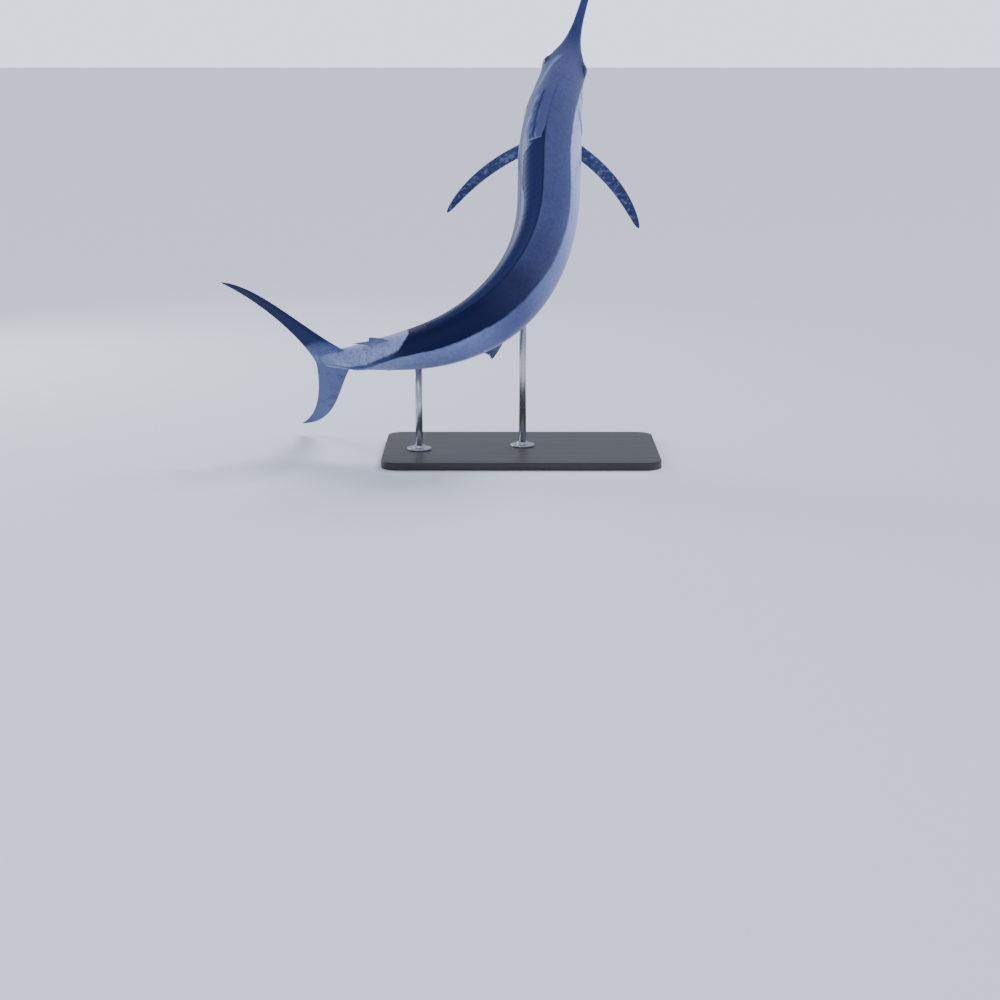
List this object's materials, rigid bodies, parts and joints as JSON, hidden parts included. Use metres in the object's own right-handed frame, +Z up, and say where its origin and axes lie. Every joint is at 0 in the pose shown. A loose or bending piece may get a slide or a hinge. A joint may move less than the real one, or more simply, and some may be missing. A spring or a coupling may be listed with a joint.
{
  "type": "black marlin",
  "caption": "Life-size black marlin in mid leap, head up and tail swung aside, as a still display model held by rods on a flat base.",
  "frame": {"origin": "middle of the stand base's underside", "axes": "+Z up, +X to the right of the picture's view with the tail swung towards -X, +Y away from the picture's camera, so the animal's back faces -Y"},
  "size_m": [1.8352, 0.8498, 2.2069],
  "materials": {
    "skin": "wet fish skin, slate blue back over a silver flank",
    "bill": "dark horny bill, faintly rough",
    "fin": "dark navy fin membrane with rays, wet",
    "eye": "glossy eye with a dark pupil",
    "stand_base": "black-stained wood, satin",
    "stand_rod": "brushed steel"
  },
  "bodies": {
    "root": {"bill": "bill", "lower_jaw": "skin", "head": "skin", "torso_front": "skin", "torso_middle": "skin", "torso_rear": "skin", "tail_stem": "skin", "eye_left": "eye", "eye_right": "eye", "first_dorsal_fin_front": "fin", "first_dorsal_fin_middle": "fin", "first_dorsal_fin_rear": "fin", "second_dorsal_fin": "fin", "first_anal_fin": "fin", "second_anal_fin": "fin", "pectoral_fin_left": "fin", "pectoral_fin_right": "fin", "pelvic_fin_left": "fin", "pelvic_fin_right": "fin", "tail_fin_upper": "fin", "tail_fin_lower": "fin", "stand_base": "stand_base", "stand_foot_front": "stand_rod", "stand_foot_rear": "stand_rod", "stand_rod_front": "stand_rod", "stand_rod_rear": "stand_rod"}
  },
  "joints": []
}
